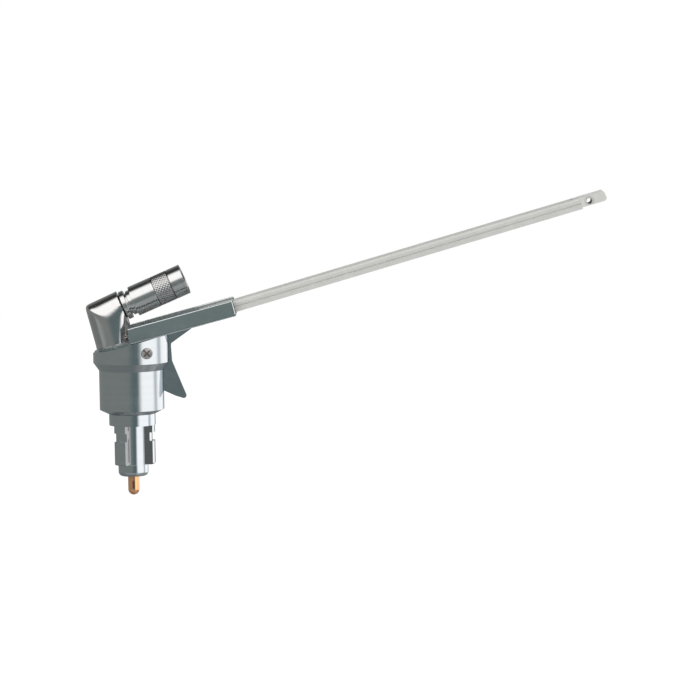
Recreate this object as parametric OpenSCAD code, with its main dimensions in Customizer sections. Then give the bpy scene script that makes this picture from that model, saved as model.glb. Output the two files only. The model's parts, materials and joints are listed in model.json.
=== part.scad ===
// Hand-held inflating head: a bayonet nose with a sprung probe pin, a round valve body with a
// side trigger, a quick-coupling socket on an elbow, and a long flat handle bar in a channel arm.
// The frame: Z runs up the body's axis from the underside of the collar, X points along the handle.

/* [Body] */
// Outside diameter of the barrel
barrel_d = 52.6; // [50:0.1:56]
// Straight height of the barrel
barrel_h = 32.2; // [30:0.1:36]
// Height of the cone between the collar and the barrel
foot_cone_h = 3.7; // [2:0.1:6]
// Outside diameter of the flange
flange_d = 61.6; // [60:0.1:66]
// Height of the flange at its low side
flange_h = 9.9; // [9.2:0.1:13]
// Height of the cone between the barrel and the flange
flare_h = 6.3; // [5:0.1:8]
// Radial width of the bevel on the flange's top edge
flange_bevel = 1.8; // [1:0.1:2.2]
// Height of the sloping seat above the flange's low side, on the axis
seat_rise = 5.7; // [5:0.1:8]
// Slope of the seat and of the channel, in degrees
arm_tilt = 14.3; // [13:0.1:16]
// Diameter of the spring chamber
spring_bore_d = 22; // [20.5:0.1:23]
// Height of the spring chamber
spring_bore_h = 19; // [18:0.1:20]
// Diameter of the air gallery beside the spring chamber
gallery_d = 5.5; // [4:0.1:6]
// Distance of the air gallery from the axis
gallery_x = 17; // [16.6:0.1:17.4]

/* [Nose] */
// Diameter of the collar
collar_d = 37.8; // [36:0.1:40]
// Height of the collar
collar_h = 9.1; // [8:0.1:12]
// Diameter of the nose between its lugs
nose_d = 24.4; // [23:0.1:26]
// Length of the nose below the collar
nose_len = 41.8; // [39:0.1:46]
// Rounding of the nose's lower edge
nose_round = 3.5; // [2:0.1:4]
// Diameter over the bayonet lugs
lug_d = 36.6; // [34:0.1:37.6]
// Length of the bayonet lugs
lug_len = 32; // [28:0.1:34]
// Width of each lug
lug_w = 11; // [9:0.1:13]
// Depth of the relief of the nose between its lugs
nose_relief = 0.3; // [0.2:0.1:0.8]
// Distance from the collar to the lugs' locking groove
lug_groove_z = 5.9; // [4:0.1:8]
// Width of the lugs' locking groove
lug_groove_w = 6.8; // [5:0.1:8]
// Depth of the lugs' locking groove
lug_groove_depth = 2.2; // [1:0.1:3]
// Diameter of the nose's shank inside the barrel
shank_d = 33; // [32:0.1:34]
// Length of the nose's shank inside the barrel
shank_len = 10.4; // [9.5:0.1:11]
// Diameter of the air way down the nose
nose_bore_d = 15; // [14:0.1:15.2]
// Diameter of the bush at the tip of the nose
tip_bush_d = 15.6; // [15.4:0.1:16.4]
// Length of the bush at the tip of the nose
tip_bush_len = 6; // [5:0.1:8]

/* [Valve] */
// Diameter of the probe pin
pin_d = 9.2; // [9.2:0.1:11]
// How far the probe pin stands out of the nose
pin_reach = 15.6; // [12:0.1:20]
// Diameter of the plunger's rod above the valve head
rod_d = 12; // [11:0.1:12.6]
// Diameter of the plunger's stem below the valve head
stem_d = 8.8; // [7:0.1:9]
// Diameter of the valve head
valve_d = 18; // [17:0.1:19]
// Height of the valve head
valve_h = 4.4; // [3.5:0.1:5]
// Diameter of the chamber that the valve head moves in
valve_bore_d = 21; // [20.5:0.1:22]
// Height of the valve seat ring
seat_ring_h = 4; // [3:0.1:5]
// Diameter of the hole in the valve seat ring
seat_hole_d = 12.4; // [11:0.1:13]
// Thickness of the rubber valve disc
valve_disc_h = 1.6; // [1:0.1:2]
// Diameter of the gland bush round the rod
gland_d = 26; // [25:0.1:27]
// Height of the gland bush
gland_h = 8; // [7:0.1:8.5]
// Mean diameter of the plunger spring
spring_d = 17.2; // [16.4:0.1:18]
// Wire diameter of the plunger spring
spring_wire_d = 1.6; // [1.2:0.1:2]
// Turns of the plunger spring
spring_turns = 6; // [4:1:7]

/* [Trigger] */
// Thickness of the trigger plate
trigger_t = 3; // [2:0.1:3.4]
// Width of the slot that the trigger plate moves in
slot_w = 4; // [3.8:0.1:5]
// Distance of the trigger's pivot from the body's axis
pivot_x = 14.2; // [13.8:0.1:14.8]
// Height of the trigger's pivot above the flange's lower edge
pivot_rise = 8.9; // [8.4:0.1:9.6]
// Diameter of the pivot screw's shank
pivot_d = 6; // [5:0.1:6.6]
// Diameter of the pivot screw's head
pivot_head_d = 8.7; // [8:0.1:9.6]
// Height of the pivot screw's head
pivot_head_h = 2.8; // [2.2:0.1:3.2]
// Radius of the trigger's hub
hub_r = 6; // [5.4:0.1:6.4]
// Radius of the round end of the trigger's finger
finger_r = 2.2; // [1.8:0.1:2.4]
// Drop of the finger's end below the pivot
finger_drop = 4.2; // [3.6:0.1:4.6]
// Swing of the trigger from rest to fully pressed, in degrees
trigger_swing = 12; // [10:0.5:12]
// How far the blade's tip stands out from the barrel
blade_reach = 16; // [12:0.5:20]
// Drop of the blade's tip below the pivot
blade_drop = 36.9; // [34:0.1:38.5]
// Radius of the blade's tip
blade_tip_r = 2.2; // [1.6:0.1:3]
// How far the horn under the arm stands out from the flange
horn_reach = 18.7; // [12:0.1:24]

/* [Arm] */
// Outside width of the channel
channel_w = 50; // [42:0.5:52]
// Height of the channel's walls from its underside
channel_h = 13; // [12:0.1:15]
// Thickness of the channel's floor
floor_t = 2; // [1.8:0.1:3]
// Thickness of the channel's walls
wall_t = 2; // [1.2:0.1:2.4]
// Length of the channel along the slope, from the body's axis
channel_len = 89.5; // [80:0.5:120]
// Radius of the channel floor's round end
plate_r = 26.5; // [25.5:0.1:27]
// Diameter of the arm's cap screws
arm_screw_d = 5; // [4:0.5:5]

/* [Handle bar] */
// Width of the bar
bar_w = 32; // [26:0.5:38]
// Thickness of the bar
bar_t = 8.8; // [7.5:0.1:10]
// Distance along the slope from the body's axis to the bar's near end
bar_start = 60; // [50:0.5:64]
// Upward set of the bar in the channel, in degrees
bar_set = 1.3; // [0:0.1:1.6]
// Length of the bar with the block on its far end
handle_len = 343.4; // [250:0.5:450]
// Length of the block on the bar's far end
block_len = 21; // [19:0.5:30]
// Width of the groove along each side of the bar
side_groove_w = 1; // [0.6:0.1:1.6]
// Depth of the groove along each side of the bar
side_groove_depth = 0.8; // [0.4:0.1:1.2]
// Bevel along the bar's upper edges
bar_bevel = 1.6; // [0.6:0.1:2]
// Diameter of the hanging eye in the end block
eye_d = 4.6; // [3:0.1:5]
// Distance of the hanging eye from the end of the block
eye_inset = 14.1; // [9:0.1:14.8]

/* [Elbow] */
// Diameter of the elbow's leg
leg_d = 31.2; // [29:0.1:32]
// Distance of the leg's axis from the body's axis, along the slope
leg_back = 12.5; // [12:0.1:13]
// Height of the elbow's bend above the seat, on the leg's axis
bend_h = 28.3; // [27:0.1:32]
// Rise of the socket's axis above the slope of the arm, in degrees
nozzle_rise = 8.7; // [5:0.1:12]
// Distance from the bend to the elbow's outlet face
nozzle_len = 14.2; // [13.6:0.1:18]
// Diameter of the elbow's outlet face
nozzle_d = 26.8; // [26:0.1:28]

/* [Coupling] */
// Outside diameter of the locking sleeve
sleeve_d = 25; // [24.4:0.1:27]
// Length of the locking sleeve
sleeve_len = 45.2; // [44.5:0.1:48]
// Distance from the elbow's outlet face to the sleeve
sleeve_gap = 9.9; // [9.8:0.1:12]
// Length of the sleeve's pull back to release a plug
sleeve_travel = 4.4; // [3.6:0.1:4.4]
// Length of the knurled band
knurl_len = 13; // [8:0.1:14]
// Distance from the sleeve's rear edge to the knurled band
knurl_start = 20.4; // [14:0.1:24]
// Diameter of the neck that the sleeve slides on
neck_d = 20.4; // [19.6:0.1:20.8]
// Diameter of the ring next to the elbow
ring_d = 23.8; // [21:0.1:24.2]
// Diameter of the hole that takes the hose plug
plug_bore_d = 13.8; // [13:0.1:14]
// Diameter of the socket's wider mouth
mouth_d = 14.3; // [14.1:0.1:15]
// Length of the socket's wider mouth
mouth_len = 7; // [6:0.1:7]
// Diameter of each locking ball
ball_d = 3.5; // [3:0.1:3.6]
// Number of locking balls
ball_count = 6; // [4:1:8]
// Backward travel of the check poppet
poppet_travel = 3; // [2:0.1:3]

/* [Fits] */
// Radial clearance of a running fit
run_fit = 0.05; // [0.02:0.01:0.1]
// Clearance between parts that stay still
still_fit = 0.05; // [0.02:0.01:0.1]
// Clearance between parts that move past each other freely
free_gap = 0.3; // [0.2:0.05:0.4]

/* [Hidden] */

$fn = 64;
hull_fn = 32;
// Overshoot of a cut past the face that it opens
over = 1;
// Gap under a seal at rest
seal_gap = 0.02;
// Play of a round seal in its groove
groove_play = 0.12;
// Room past the end of a screw, rod or stud in its hole
end_gap = 0.5;

// Heights up the body's axis
barrel_z0 = collar_h + foot_cone_h;
barrel_z1 = barrel_z0 + barrel_h;
flange_z0 = barrel_z1 + flare_h;
flange_z1 = flange_z0 + flange_h;
seat_z = flange_z1 + seat_rise;
shank_z1 = collar_h + shank_len;
chamber_h = 3.5;
gland_z0 = shank_z1 + chamber_h;
gland_z1 = gland_z0 + gland_h;
spring_z1 = gland_z1 + spring_bore_h;

// Radii of the body and of the valve
barrel_r = barrel_d / 2;
flange_r = flange_d / 2;
collar_r = collar_d / 2;
nose_r = nose_d / 2;
lug_r = lug_d / 2;
shank_r = shank_d / 2;
chamber_edge = 0.4;
chamber_r = gallery_x + gallery_d / 2 + chamber_edge;
rod_r = rod_d / 2;
pin_r = pin_d / 2;
stem_r = stem_d / 2;
gland_r = gland_d / 2;
valve_bore_r = valve_bore_d / 2;
top_bevel_h = 1.4 * flange_bevel;

// Lugs: the middle of each, in degrees round the axis; unequal steps key the nose
LUGS = [-8.8, 112, 235.5];
lug_chamfer = 1;
relief_drop = 0.3;

// Seals of the valve
ring_r = 0.73;
ring_groove = 1.5;
gland_ring_r = 0.9;
gland_mid = (gland_z0 + gland_z1) / 2;
gland_groove_half = gland_ring_r + seal_gap;
rod_ring_mean = rod_r + run_fit + gland_ring_r;
wall_ring_mean = gland_r - gland_ring_r;
shank_ring_z = (collar_h + shank_z1) / 2;

// Valve stack, from the seat ring up
seat_step = 5.1;
ring_z0 = collar_h - seat_step;
ring_z1 = ring_z0 + seat_ring_h;
disc_z0 = ring_z1 + seal_gap;
disc_z1 = disc_z0 + valve_disc_h;
disc_edge = 0.4;
disc_r = valve_d / 2 - disc_edge;
head_z1 = disc_z1 + valve_h;
pin_cover = 13.8;
pin_z1 = pin_cover - nose_len;
stud_r = 2.5;
stud_len = 7;
flute_r = 1.1;
flute_count = 3;
clip_t = 1;
clip_rise = 1.4;
clip_z0 = gland_z1 + clip_rise;
clip_depth = 0.8;
clip_r = rod_r + 2.6;
clip_mouth = 5;
washer_t = 1.2;
washer_z0 = clip_z0 + clip_t;
spring_z0 = washer_z0 + washer_t;
spring_r = spring_d / 2;
spring_wire_r = spring_wire_d / 2;
washer_r = spring_r + spring_wire_r + 1;

// Trigger: the finger lifts the rod through a window, and the blade and the horn lie in one plane
pivot_z = flange_z0 + pivot_rise;
pivot = [pivot_x, pivot_z];
finger_z = pivot_z - finger_drop;
finger_half = 1.5;
lift = pivot_x * sin(trigger_swing) + finger_drop * (1 - cos(trigger_swing));
window_play = 0.2;
window_half = finger_r + window_play;
finger_low = turned([0, finger_z - finger_half], pivot, trigger_swing);
window_dip = finger_low[1] - (rod_r - finger_low[0]) * tan(trigger_swing) - lift - free_gap;
window_bridge = 2.6;
rod_top_z = finger_z + window_half + window_bridge;
pivot_r = pivot_d / 2;
pivot_head_r = pivot_head_d / 2;
spotface_gap = 0.2;
head_seat_y = sqrt(pow(flange_r, 2) - pow(pivot_x + pivot_head_r, 2)) - spotface_gap;
spotface_r = pivot_head_r + spotface_gap;
dome_h = 0.6;
dome_r = (pow(pivot_head_r, 2) + pow(dome_h, 2)) / (2 * dome_h);
thread_r = pivot_r - 0.5;
shank_back = 10;
pivot_tail = 0.75 * flange_r;
cross_w = 1.3;
cross_depth = 1.2;
cross_margin = 0.9;
blade_tip = [barrel_r + blade_reach, pivot_z - blade_drop];
blade_low = [barrel_r + 9.5, pivot_z - blade_drop - 0.2];
blade_edge = [barrel_r + 0.3, blade_low[1] + 4.3];
heel = [barrel_r - 3.8, blade_edge[1] + 1.9];
knee = [barrel_r - 5.8, barrel_z1 + 3];
blade_out = [flange_r + 2.6, flange_z0 + 0.3];
throat = [flange_r + 1.9, pivot_z + 3.6];
horn_slope = 0.7045;
horn_in = [flange_r + 2.1, pivot_z + 5.8];
horn_low = [flange_r + horn_reach, horn_in[1] + horn_slope * (flange_r + horn_reach - horn_in[0])];
horn_root_x = pivot_x + 3;
slot_top = under_arm(flange_r) + over;

// Channel and elbow, in the sloping frame of the seat
channel_half = channel_w / 2;
wall_start = 1.6;
wall_lean = 2;
leg_r = leg_d / 2;
gallery_u = -gallery_x / cos(arm_tilt);
port_edge = 0.45;
port_r = gallery_d / 2 + port_edge;
seal_mean_r = 4.9;
outlet_u = -leg_back + nozzle_len * cos(nozzle_rise);
outlet_w = bend_h + nozzle_len * sin(nozzle_rise);
outlet_r = nozzle_d / 2;
mitre_angle = 44;
mitre_drop = 4.4;
gusset_r = 4.4;
gusset_inset = 0.2;
gusset_drop = outlet_r + 2.6;
passage_r = 3;
passage_s = (gallery_u - outlet_u) / cos(nozzle_rise);
passage_w = bend_h + (gallery_u + leg_back) * tan(nozzle_rise);
nozzle_thread_r = 6.5;
nozzle_thread_len = 9;
arm_screw_r = arm_screw_d / 2;
arm_screw_len = 10;
arm_head_r = 1.7 * arm_screw_r;
arm_head_h = 3;
hex_r = 0.9 * arm_screw_r;
hex_depth = 1.8;
arm_screws_at = [[4, 14], [4, -14], [22, 10], [22, -10]];
foot_screw_r = 2;
foot_screw_head_r = 4;
foot_screw_head_h = floor_t - 0.1;
foot_screw_w1 = floor_t + 5;
foot_hex_depth = 1.2;
foot_screws_at = [10.5, -10.5];

// Handle bar, in its own frame: X along the bar from its near end, Z up from its underside
bar_half = bar_w / 2;
bar_len = handle_len - block_len;
groove_half = side_groove_w / 2;
bar_screw_r = 2.5;
bar_screw_head_r = 4.6;
bar_screw_head_h = 2.3;
bar_screw_tip = floor_t - 0.1;
bar_hex_depth = 1.6;
bar_screws_at = [8, 21];
tongue_w = 0.5 * bar_w;
tongue_t = 0.5 * bar_t;
tongue_len = 14;
end_pin_r = 1.5;
end_pin_a = bar_len - tongue_len / 2;
end_pins_at = [tongue_w / 4, -tongue_w / 4];
block_z0 = 1.2;
block_round = 2.6;
block_bevel = 0.9;
block_lean = 0.6;
eye_a = handle_len - eye_inset;
eye_r = eye_d / 2;
eye_set = 0.6;
eye_z = (block_z0 + bar_t) / 2 - eye_set;
eye_flare = 2.2;
eye_flare_depth = 3;

// Coupling, along its own axis from the elbow's outlet face
neck_washer_r = 9.6;
neck_washer_h = 1.2;
ring_d_half = ring_d / 2;
ring_len = 3.7;
ring_s1 = neck_washer_h + ring_len;
groove_len = 1.6;
groove_s1 = ring_s1 + groove_len;
groove_r = 8.8;
neck_r = neck_d / 2;
sleeve_r = sleeve_d / 2;
sleeve_s1 = sleeve_gap + sleeve_len;
sleeve_chamfer = 0.6;
sleeve_wall = 1.3;
land_len = 10.2;
land_s1 = sleeve_gap + land_len;
socket_r = neck_r - sleeve_wall;
face_gap = 0.2;
socket_s0 = land_s1 + face_gap;
socket_s1 = sleeve_s1 - sleeve_chamfer;
joint_r = 7.6;
joint_len = 6;
joint_s1 = land_s1 + joint_len;
air_r = 3.2;
lip_len = 7.2;
lip_s0 = socket_s1 - lip_len;
lock_gap = 0.1;
lock_s1 = lip_s0 - lock_gap;
lock_s0 = lock_s1 - sleeve_travel - ball_d - lock_gap;
mouth_r = mouth_d / 2;
mouth_s0 = socket_s1 - mouth_len;
plug_r = plug_bore_d / 2;
ball_r = ball_d / 2;
ball_bite = 0.9;
ball_at = plug_r - ball_bite + ball_r;
ball_inset = 2.6;
ball_s = lock_s1 - ball_inset;
lock_r = ball_at + ball_r + run_fit;
recess_r = sleeve_r - sleeve_wall;
lip_r = recess_r - free_gap;
pocket_s0 = land_s1 - over;
sleeve_spring_r = (socket_r + recess_r) / 2;
sleeve_wire_r = 0.7;
sleeve_turns = 7;
knurl_s0 = sleeve_gap + knurl_start;
knurl_s1 = knurl_s0 + knurl_len;
knurl_groove_w = 0.8;
knurl_groove_depth = 0.3;
seat_reach = 17;
seat_s1 = land_s1 + seat_reach;
seat_t = 2;
seat_s0 = seat_s1 - seat_t;
seat_r = 4.6;
chamber_bore_r = 6.4;
plug_ring_r = 0.65;
plug_ring_sink = 0.6;
plug_ring_mean = plug_r + plug_ring_sink;
plug_ring_rise = 2.2;
plug_ring_s = seat_s1 + plug_ring_rise;
poppet_r = chamber_bore_r - run_fit;
poppet_seal_r = 5.9;
poppet_seal_s1 = seat_s0 - seal_gap;
poppet_seal_h = 0.8;
poppet_s1 = poppet_seal_s1 - poppet_seal_h;
poppet_h = 3.6;
poppet_s0 = poppet_s1 - poppet_h;
poppet_nose_r = 2.2;
poppet_nose_len = 7;
poppet_tail_r = 1.6;
poppet_tail_len = poppet_travel + 3;
notch_r = 1.3;
notch_count = 4;
poppet_spring_r = 3.6;
poppet_wire_r = 0.6;
poppet_turns = 3;
poppet_pocket_r = 4.5;
poppet_pocket_depth = joint_len / 2;
poppet_pocket_s0 = joint_s1 - poppet_pocket_depth;

// Point p turned clockwise about c, seen with X to the right and Z up
function turned(p, c, a) = c + [
    (p[0] - c[0]) * cos(a) + (p[1] - c[1]) * sin(a),
    (p[1] - c[1]) * cos(a) - (p[0] - c[0]) * sin(a)
];

// Height of the arm's underside at a distance from the body's axis
function under_arm(x) = seat_z + x * tan(arm_tilt);

// Points of an arc
function arc(c, r, a0, a1) = [for (i = [0 : 6]) let (a = a0 + (a1 - a0) * i / 6) c + r * [cos(a), sin(a)]];

function coil_ring(n, sides, mean_r, wire_r, z0, z1, turns, i) = [
    for (k = [0 : sides - 1])
        let (a = 360 * turns * i / n, b = 360 * k / sides, r = mean_r + wire_r * cos(b))
        [r * cos(a), r * sin(a), z0 + wire_r + (z1 - z0 - 2 * wire_r) * i / n + wire_r * sin(b)]
];

// Coil spring of round wire between two flat ends
module coil(mean_r, wire_r, z0, z1, turns) {
    sides = 6;
    n = 12 * turns;
    rings = [for (i = [0 : n]) each coil_ring(n, sides, mean_r, wire_r, z0, z1, turns, i)];
    walls = [
        for (i = [0 : n - 1], k = [0 : sides - 1])
            let (a = i * sides + k, b = i * sides + (k + 1) % sides)
            each [[a, a + sides, b], [b, a + sides, b + sides]]
    ];
    first = [for (k = [1 : sides - 2]) [0, k, k + 1]];
    last = [for (k = [1 : sides - 2]) [n * sides, n * sides + k + 1, n * sides + k]];
    polyhedron(points = rings, faces = concat(walls, first, last));
}

// Bore or rod between two heights
module rod(r, z0, z1) {
    translate([0, 0, z0]) cylinder(r = r, h = z1 - z0);
}

// Round ring between two radii and two heights
module ring(r0, r1, z0, z1) {
    difference() {
        rod(r1, z0, z1);
        rod(r0, z0 - over, z1 + over);
    }
}

// Ring of round section
module o_ring(mean_r, section_r, z) {
    translate([0, 0, z]) rotate_extrude() translate([mean_r, 0]) circle(r = section_r, $fn = 24);
}

// The sloping frame of the seat: X along the channel, Z square to it
module on_seat() {
    translate([0, 0, seat_z]) rotate([0, -arm_tilt, 0]) children();
}

// The frame of the handle bar
module on_bar() {
    on_seat() translate([bar_start, 0, floor_t]) rotate([0, -bar_set, 0]) children();
}

// The frame of the coupling: Z along the socket's axis from the elbow's outlet face
module on_nozzle() {
    on_seat() translate([outlet_u, 0, outlet_w]) rotate([0, 90 - nozzle_rise, 0]) children();
}

// The frame of the pivot: Z along the pivot screw, towards its head
module on_pivot() {
    translate([pivot_x, 0, pivot_z]) rotate([90, 0, 0]) children();
}

// Plate in the XZ plane, of a thickness shared evenly on both sides
module upright_plate(t) {
    rotate([90, 0, 0]) translate([0, 0, -t / 2]) linear_extrude(height = t) children();
}

// Outline of the channel's floor, with a round end over the body
module floor_outline(grow = 0) {
    half = channel_half + grow;
    intersection() {
        circle(r = plate_r + grow, $fn = 96);
        translate([-plate_r - over, -half]) square([plate_r + over + channel_len / 2, 2 * half]);
    }
    translate([0, -half]) square([channel_len, 2 * half]);
}

// Room for the trigger plate from rest to fully pressed
module slot_outline() {
    knee_in = turned(knee, pivot, trigger_swing);
    heel_in = turned(heel, pivot, trigger_swing);
    low_in = turned(blade_low, pivot, trigger_swing);
    outside = flange_r + over;
    translate(pivot) circle(r = hub_r + free_gap);
    translate([0, finger_z - finger_r - free_gap]) square([pivot_x, lift + 2 * (finger_r + free_gap)]);
    polygon([
        pivot, knee_in - [free_gap, 0], heel_in - [free_gap, free_gap], low_in - [0, free_gap],
        [outside, low_in[1] - free_gap], [outside, slot_top], [horn_root_x - free_gap, slot_top],
        [pivot_x - free_gap, pivot_z + hub_r]
    ]);
}

module valve_body() {
    color("#8d9293") difference() {
        rotate_extrude() polygon([
            [0, collar_h], [collar_r, collar_h], [barrel_r, barrel_z0], [barrel_r, barrel_z1],
            [flange_r, flange_z0], [flange_r, slot_top], [0, slot_top]
        ]);
        intersection() {
            on_seat() translate([-flange_d, -flange_d, 0]) cube([2 * flange_d, 2 * flange_d, flange_d]);
            rotate_extrude() polygon([
                [0, flange_z1], [flange_r - flange_bevel, flange_z1],
                [flange_r + flange_bevel, flange_z1 - 2 * top_bevel_h],
                [flange_r + flange_bevel, slot_top + over],
                [0, slot_top + over]
            ]);
        }
        on_seat() linear_extrude(height = flange_r) floor_outline(free_gap);
        rod(shank_r + still_fit, collar_h - over, shank_z1);
        rod(chamber_r, shank_z1, gland_z0);
        rod(gland_r + still_fit, gland_z0, gland_z1);
        rod(spring_bore_d / 2, gland_z1, spring_z1);
        rod(rod_r + run_fit, spring_z1, slot_top);
        translate([-gallery_x, 0, 0]) rod(gallery_d / 2, gland_z0 - over, slot_top);
        on_seat() translate([gallery_u, 0, 0]) seal_groove(-ring_groove, over);
        on_seat() for (at = arm_screws_at) translate(at)
            rod(arm_screw_r + still_fit, floor_t - arm_screw_len - end_gap, over);
        upright_plate(slot_w) slot_outline();
        on_pivot() rod(pivot_r + still_fit, -shank_back, flange_r);
        on_pivot() rod(thread_r + still_fit, -pivot_tail - end_gap, 0);
        on_pivot() rod(spotface_r, head_seat_y, flange_r + over);
    }
}

// Groove for a gallery ring
module seal_groove(z0, z1) {
    ring(seal_mean_r - ring_r - groove_play, seal_mean_r + ring_r + groove_play, z0, z1);
}

// Straight-sided block that one lug is cut from
module lug(middle) {
    rotate([0, 0, middle]) translate([0, -lug_w / 2, -lug_len]) cube([lug_r + over, lug_w, lug_len]);
}

module nose_spigot() {
    groove_z0 = -lug_groove_z - lug_groove_w;
    groove_in = lug_r - lug_groove_depth;
    relief_r = nose_r - nose_relief;
    relief_z0 = -lug_len - relief_drop;
    ring_half = ring_r + groove_play;
    color("#7f8686") difference() {
        union() {
            rod(collar_r, 0, collar_h);
            rod(shank_r, collar_h, shank_z1);
            rotate_extrude() polygon(concat(
                [[0, 0], [0, -nose_len]],
                arc([nose_r - nose_round, nose_round - nose_len], nose_round, -90, 0),
                [[nose_r, relief_z0], [relief_r, relief_z0], [relief_r, 0]]
            ));
            intersection() {
                rotate_extrude() polygon([
                    [0, 0], [lug_r, 0], [lug_r, -lug_groove_z], [groove_in, -lug_groove_z],
                    [groove_in, groove_z0], [lug_r, groove_z0], [lug_r, lug_chamfer - lug_len],
                    [lug_r - lug_chamfer, -lug_len], [0, -lug_len]
                ]);
                for (middle = LUGS) lug(middle);
            }
        }
        rod(nose_bore_d / 2, -nose_len - over, collar_h);
        rod(tip_bush_d / 2 + still_fit, -nose_len - over, tip_bush_len - nose_len);
        rod(valve_bore_r, ring_z0, shank_z1 + over);
        ring(shank_r - ring_groove, shank_r + over, shank_ring_z - ring_half, shank_ring_z + ring_half);
    }
}

module nose_o_ring() {
    color("#222222") o_ring(shank_r - ring_groove + ring_r + seal_gap, ring_r, shank_ring_z);
}

module tip_bush() {
    color("#b9a05a") difference() {
        ring(pin_r + run_fit, tip_bush_d / 2, -nose_len, tip_bush_len - nose_len);
        for (i = [1 : flute_count])
            rotate([0, 0, 360 * i / flute_count]) translate([pin_r + flute_r / 2, 0, 0])
                rod(flute_r, -nose_len - over, tip_bush_len - nose_len + over);
    }
}

module valve_seat_ring() {
    color("#c9a64f") ring(seat_hole_d / 2, valve_bore_r - still_fit, ring_z0, ring_z1);
}

module gland_bush() {
    groove_z0 = gland_mid - gland_groove_half;
    groove_z1 = gland_mid + gland_groove_half;
    color("#c9a64f") difference() {
        ring(rod_r + run_fit, gland_r, gland_z0, gland_z1);
        rod(rod_ring_mean + gland_groove_half, groove_z0, groove_z1);
        ring(wall_ring_mean - gland_groove_half, gland_r + over, groove_z0, groove_z1);
    }
}

module gland_o_rings() {
    color("#222222") {
        o_ring(rod_ring_mean, gland_ring_r, gland_mid);
        o_ring(wall_ring_mean, gland_ring_r, gland_mid);
    }
}

module plunger() {
    color("#a9adb0") difference() {
        union() {
            rod(rod_r, head_z1, rod_top_z);
            rod(valve_d / 2, disc_z1, head_z1);
            rod(stem_r, pin_z1, disc_z1);
            rod(stud_r, pin_z1 - stud_len, pin_z1);
        }
        upright_plate(slot_w) polygon([
            [-rod_r - over, finger_z - window_half], [0, finger_z - window_half],
            [rod_r, window_dip], [rod_r + over, window_dip],
            [rod_r + over, finger_z + window_half], [-rod_r - over, finger_z + window_half]
        ]);
        ring(rod_r - clip_depth, rod_r + over, clip_z0 - still_fit, clip_z0 + clip_t + still_fit);
    }
}

module valve_disc() {
    color("#2b2b2b") ring(stem_r + still_fit, disc_r, disc_z0, disc_z1);
}

module probe_pin() {
    tip_z = -nose_len - pin_reach;
    color("#b8753f") difference() {
        union() {
            rod(pin_r, tip_z + pin_r, pin_z1);
            translate([0, 0, tip_z + pin_r]) sphere(r = pin_r);
        }
        rod(stud_r + still_fit, pin_z1 - stud_len - end_gap, pin_z1 + over);
    }
}

module rod_clip() {
    color("#55585a") difference() {
        ring(rod_r - clip_depth + still_fit, clip_r, clip_z0, clip_z0 + clip_t);
        translate([-clip_mouth / 2, 0, clip_z0 - over]) cube([clip_mouth, clip_r + over, clip_t + 2 * over]);
    }
}

module spring_washer() {
    color("#9aa0a3") ring(rod_r + still_fit, washer_r, washer_z0, washer_z0 + washer_t);
}

module plunger_spring() {
    color("#8f9496") coil(spring_r, spring_wire_r, spring_z0, spring_z1, spring_turns);
}

module trigger() {
    tip_out = blade_tip + blade_tip_r * [0.94, 0.34];
    tip_in = blade_tip - blade_tip_r * [0.34, 0.94];
    color("#5a686e") difference() {
        upright_plate(trigger_t) {
            translate(pivot) circle(r = hub_r);
            translate([0, finger_z]) circle(r = finger_r);
            translate([0, finger_z - finger_half]) square([pivot_x, 2 * finger_half]);
            translate(blade_tip) circle(r = blade_tip_r);
            polygon([
                pivot, knee, heel, blade_edge, blade_low, tip_in, tip_out, blade_out,
                throat, horn_in, horn_low,
                [horn_low[0], under_arm(horn_low[0]) - free_gap],
                [horn_root_x, under_arm(horn_root_x) - free_gap]
            ]);
        }
        on_pivot() rod(pivot_r + run_fit, -trigger_t, trigger_t);
    }
}

// Shoulder screw with a low dome and a cross slot
module pivot_screw() {
    head_top = head_seat_y + pivot_head_h;
    cross_half = pivot_head_r - cross_margin;
    color("#8c8584") on_pivot() difference() {
        union() {
            rotate_extrude() polygon(concat(
                [[0, head_seat_y], [pivot_head_r, head_seat_y]],
                arc([0, head_top - dome_r], dome_r, acos(pivot_head_r / dome_r), 90)
            ));
            rod(pivot_r, -shank_back + still_fit, head_seat_y);
            rod(thread_r, -pivot_tail, -shank_back + still_fit);
        }
        for (turn = [45, 135]) rotate([0, 0, turn])
            translate([-cross_half, -cross_w / 2, head_top - cross_depth])
                cube([2 * cross_half, cross_w, cross_depth + over]);
    }
}

module channel_arm() {
    sink_r = foot_screw_head_r + still_fit;
    hole_r = foot_screw_r + still_fit;
    bar_hole_r = bar_screw_r + still_fit;
    wall = [[wall_start, 0], [channel_len, 0], [channel_len, channel_h], [wall_start + wall_lean, channel_h]];
    color("#6b7678") difference() {
        on_seat() union() {
            linear_extrude(height = floor_t) floor_outline();
            for (side = [-1, 1])
                translate([0, side * (channel_half - wall_t / 2), 0]) upright_plate(wall_t) polygon(wall);
        }
        on_seat() translate([gallery_u, 0, 0]) rod(port_r, -over, floor_t + over);
        on_seat() for (at = arm_screws_at) translate(at) rod(arm_screw_r + free_gap, -over, floor_t + over);
        on_seat() for (y = foot_screws_at) translate([-leg_back, y, 0]) {
            rod(hole_r, -over, floor_t + over);
            cylinder(r1 = sink_r, r2 = hole_r, h = foot_screw_head_h + still_fit);
        }
        on_bar() for (a = bar_screws_at) translate([a, 0, 0]) rod(bar_hole_r, -2 * floor_t, over);
    }
}

module arm_screws() {
    color("#4c5154") on_seat() for (at = arm_screws_at) translate(at) difference() {
        union() {
            rod(arm_head_r, floor_t, floor_t + arm_head_h);
            rod(arm_screw_r, floor_t - arm_screw_len, floor_t);
        }
        translate([0, 0, floor_t + arm_head_h - hex_depth])
            cylinder(r = hex_r, h = hex_depth + over, $fn = 6);
    }
}

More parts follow.
